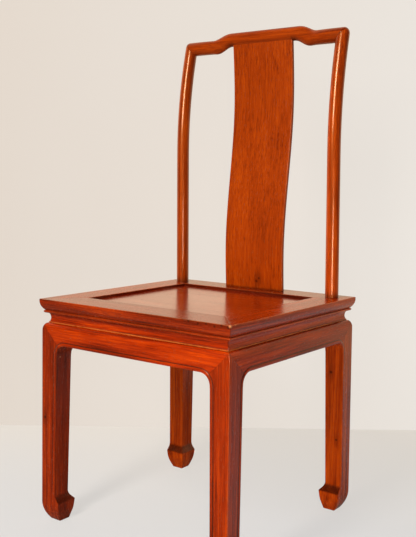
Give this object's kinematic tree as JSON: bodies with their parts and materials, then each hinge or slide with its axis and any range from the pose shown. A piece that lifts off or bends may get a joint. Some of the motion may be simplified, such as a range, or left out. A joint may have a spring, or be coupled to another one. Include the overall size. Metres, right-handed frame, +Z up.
{
  "type": "side chair",
  "caption": "Armless rosewood chair with hoof feet, a waisted seat frame with a sunk panel, round stiles, an S-curved splat and a crest rail raised in the middle.",
  "frame": {"origin": "on the floor, under the middle of the seat frame", "axes": "+Z up, +Y towards the chair's back, +X towards the right as seen from the front"},
  "size_m": [0.477, 0.461, 1.041],
  "materials": {
    "seat_frame": "gloss lacquer",
    "seat_panel": "gloss lacquer",
    "waist": "gloss lacquer",
    "apron": "gloss lacquer",
    "leg": "gloss lacquer",
    "back_frame": "gloss lacquer",
    "splat": "gloss lacquer",
    "underside": "bare wood, oiled",
    "back_pegs": "gloss lacquer"
  },
  "bodies": {
    "root": {"front_seat_rail": "seat_frame", "right_seat_rail": "seat_frame", "back_seat_rail": "seat_frame", "left_seat_rail": "seat_frame", "seat_panel": "seat_panel", "front_waist_strip": "waist", "right_waist_strip": "waist", "back_waist_strip": "waist", "left_waist_strip": "waist", "front_apron": "apron", "right_apron": "apron", "back_apron": "apron", "left_apron": "apron", "front_left_leg": "leg", "front_right_leg": "leg", "back_right_leg": "leg", "back_left_leg": "leg", "right_stile": "back_frame", "left_stile": "back_frame", "crest_rail": "back_frame", "splat": "splat", "left_panel_batten": "underside", "right_panel_batten": "underside", "frame_pegs": "underside", "crest_pegs": "back_pegs"}
  },
  "joints": []
}
